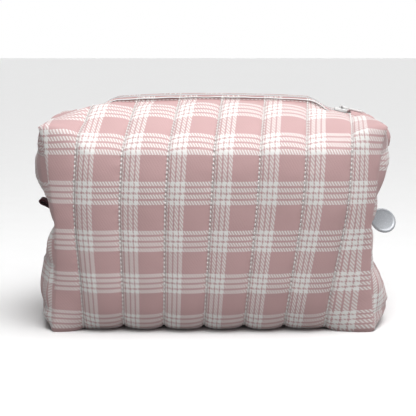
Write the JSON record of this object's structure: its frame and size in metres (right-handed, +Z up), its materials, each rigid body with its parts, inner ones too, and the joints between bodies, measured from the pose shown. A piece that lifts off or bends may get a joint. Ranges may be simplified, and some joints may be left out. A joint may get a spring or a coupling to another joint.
{
  "type": "makeup bag",
  "caption": "Boxy quilted fabric makeup bag with an arched zip along the top, opening top flaps, a side loop and a round side label.",
  "frame": {"origin": "middle of the base, at the level the bag stands on", "axes": "+X along the zip towards the round label, front faces -Y, +Z up"},
  "size_m": [0.2898, 0.124, 0.176],
  "materials": {
    "quilted_cotton": "quilted dusty pink cotton with a white woven plaid",
    "plain_cotton": "plain dusty pink cotton",
    "wadding": "loose polyester wadding",
    "lining": "plain pale woven lining",
    "zip_tape": "white herringbone zip tape",
    "zip_coil": "white nylon coil",
    "zip_metal": "pale enamelled zip slider",
    "binding": "folded cotton tape",
    "loop_ribbon": "deep pink ribbed ribbon",
    "label": "pearly silver-white, softly glossy"
  },
  "bodies": {
    "bag_body": {"base_panel": "quilted_cotton", "base_wadding": "wadding", "base_lining": "lining", "front_panel": "quilted_cotton", "front_wadding": "wadding", "front_lining": "lining", "rear_panel": "quilted_cotton", "rear_wadding": "wadding", "rear_lining": "lining", "left_side_panel": "quilted_cotton", "left_side_wadding": "wadding", "left_side_lining": "lining", "right_side_panel": "quilted_cotton", "right_side_wadding": "wadding", "right_side_lining": "lining", "left_top_panel": "quilted_cotton", "left_top_wadding": "wadding", "left_top_lining": "lining", "right_top_panel": "quilted_cotton", "right_top_wadding": "wadding", "right_top_lining": "lining", "left_zip_tape": "zip_tape", "left_zip_coil": "zip_coil", "left_zip_stop": "zip_metal", "left_zip_tab": "plain_cotton", "left_seam_binding": "binding", "right_zip_tape": "zip_tape", "right_zip_coil": "zip_coil", "right_zip_stop": "zip_metal", "right_zip_tab": "plain_cotton", "right_seam_binding": "binding", "front_left_binding": "binding", "front_right_binding": "binding", "rear_left_binding": "binding", "rear_right_binding": "binding"},
    "front_flap": {"front_flap_panel": "quilted_cotton", "front_flap_wadding": "wadding", "front_flap_lining": "lining", "front_zip_tape": "zip_tape", "front_zip_coil": "zip_coil"},
    "rear_flap": {"rear_flap_panel": "quilted_cotton", "rear_flap_wadding": "wadding", "rear_flap_lining": "lining", "rear_zip_tape": "zip_tape", "rear_zip_coil": "zip_coil"},
    "zip_slider": {"slider_body": "zip_metal"},
    "zip_pull": {"slider_pull": "zip_metal"},
    "side_loop": {"left_loop": "loop_ribbon"},
    "side_label": {"round_label": "label"}
  },
  "joints": [
    {"name": "front_flap_fold", "type": "hinge", "parent": "bag_body", "child": "front_flap", "pos_m": [0, -0.062, 0.137], "axis": [1, 0, 0], "range_deg": [0, 55]},
    {"name": "rear_flap_fold", "type": "hinge", "parent": "bag_body", "child": "rear_flap", "pos_m": [0, 0.062, 0.137], "axis": [-1, 0, 0], "range_deg": [0, 55]},
    {"name": "zip_run", "type": "hinge", "parent": "bag_body", "child": "zip_slider", "pos_m": [0, 0, -0.254], "axis": [0, -1, 0], "range_deg": [0, 27.17]},
    {"name": "pull_swing", "type": "hinge", "parent": "zip_slider", "child": "zip_pull", "pos_m": [0.10154, 0, 0.16621], "axis": [0, -1, 0], "range_deg": [0, 170]},
    {"name": "loop_bend", "type": "hinge", "parent": "bag_body", "child": "side_loop", "pos_m": [-0.12, 0, 0.082], "axis": [0, 1, 0], "range_deg": [-60, 20], "stiffness_Nm_per_rad": 0.004},
    {"name": "label_bend", "type": "hinge", "parent": "bag_body", "child": "side_label", "pos_m": [0.12, 0, 0.082], "axis": [0, 0, 1], "range_deg": [-25, 25], "stiffness_Nm_per_rad": 0.004}
  ]
}
